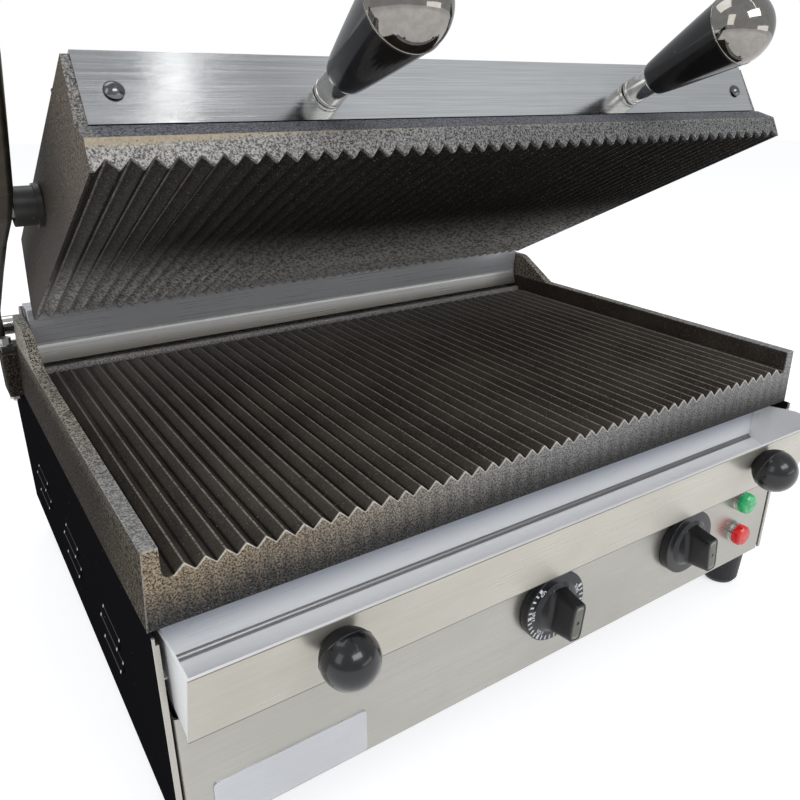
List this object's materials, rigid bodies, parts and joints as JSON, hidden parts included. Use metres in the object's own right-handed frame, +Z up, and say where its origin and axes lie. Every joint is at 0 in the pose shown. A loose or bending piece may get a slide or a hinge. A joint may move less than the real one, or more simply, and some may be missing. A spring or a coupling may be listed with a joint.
{
  "type": "contact grill",
  "caption": "Countertop contact grill with ribbed cast plates, a hinged floating lid with two handles, a slide-out drip tray, rotary controls and signal lamps.",
  "frame": {"origin": "middle of the bounding box in plan, on the surface that the feet stand on, with the lid at its pictured rest angle", "axes": "+X to the right as the user faces the controls, +Y to the back, +Z up"},
  "size_m": [0.5416, 0.505, 0.4419],
  "materials": {
    "iron": "rough seasoned casting, worn to a lighter grey-beige on the machined edges",
    "stainless": "brushed along its length",
    "sheet_steel": "plain sheet",
    "black_paint": "gloss black, bright cut front edge",
    "foot_plastic": "matt black",
    "fastener": "plated screw steel",
    "bright_steel": "turned and polished",
    "cap_chrome": "polished",
    "bracket_steel": "dark oiled steel",
    "arm_metal": "smooth grey-brown cast metal",
    "dull_plastic": "moulded",
    "black_plastic": "polished black phenolic",
    "inlay_metal": "satin",
    "green_lens": "translucent green",
    "red_lens": "translucent red",
    "heater_sheath": "dull heater sheath",
    "fibre": "mineral fibre board"
  },
  "bodies": {
    "base": {"lower_plate": "iron", "splash_guard": "stainless", "guard_screws": "fastener", "side_panel_left": "black_paint", "side_panel_right": "black_paint", "front_panel": "stainless", "bottom_panel": "sheet_steel", "rear_panel": "sheet_steel", "foot_pads": "foot_plastic", "foot_screws": "fastener", "cable_gland": "dull_plastic", "terminal_block": "dull_plastic", "name_plate": "stainless", "control_bodies": "dull_plastic", "lamp_bodies": "bright_steel", "lamp_lens_green": "green_lens", "lamp_lens_red": "red_lens", "tray_runners": "sheet_steel", "lower_heaters": "heater_sheath", "lower_clamp_bars": "sheet_steel", "lower_clamp_studs": "fastener", "lower_pad": "fibre", "lower_pad_tray": "sheet_steel", "hinge_beam": "bracket_steel", "bearing_blocks": "bracket_steel", "hinge_bolts": "fastener", "hinge_cover": "stainless", "balance_springs": "bright_steel"},
    "yoke": {"hinge_shaft": "bright_steel", "shaft_caps": "fastener", "arm_left": "arm_metal", "arm_right": "arm_metal", "pivot_pins": "fastener"},
    "lid": {"upper_plate": "iron", "pivot_bosses": "iron", "front_strip": "stainless", "strip_screws": "fastener", "upper_cover": "stainless", "cover_screws": "fastener", "upper_heaters": "heater_sheath", "upper_clamp_bars": "sheet_steel", "upper_clamp_studs": "fastener", "upper_pad": "fibre", "upper_gland": "dull_plastic", "handle_ferrules": "bright_steel", "handle_grip_left": "black_plastic", "handle_grip_right": "black_plastic", "handle_rings": "cap_chrome", "handle_cap_left": "cap_chrome", "handle_cap_right": "cap_chrome", "handle_studs": "fastener"},
    "tray": {"drip_tray": "stainless", "tray_knob_left": "black_plastic", "tray_knob_right": "black_plastic", "tray_knob_screws": "fastener"},
    "thermostat": {"thermostat_knob": "black_plastic", "thermostat_inlay": "inlay_metal"},
    "selector": {"selector_knob": "black_plastic", "selector_inlay": "inlay_metal"}
  },
  "joints": [
    {"name": "lid_hinge", "type": "hinge", "parent": "base", "child": "yoke", "pos_m": [0, 0.2025, 0.2078], "axis": [-1, 0, 0], "range_deg": [-25.6, 48]},
    {"name": "plate_tilt", "type": "hinge", "parent": "yoke", "child": "lid", "pos_m": [0, -0.00633, 0.32989], "axis": [1, 0, 0], "range_deg": [0, 8]},
    {"name": "drip_tray_slide", "type": "slide", "parent": "base", "child": "tray", "axis": [0, -1, 0], "range_m": [0, 0.06]},
    {"name": "thermostat_turn", "type": "hinge", "parent": "base", "child": "thermostat", "pos_m": [0, -0.2025, 0.0796], "axis": [0, -1, 0], "range_deg": [-270, 0]},
    {"name": "selector_turn", "type": "hinge", "parent": "base", "child": "selector", "pos_m": [0.1364, -0.2025, 0.0796], "axis": [0, -1, 0], "range_deg": [-180, 0]}
  ]
}
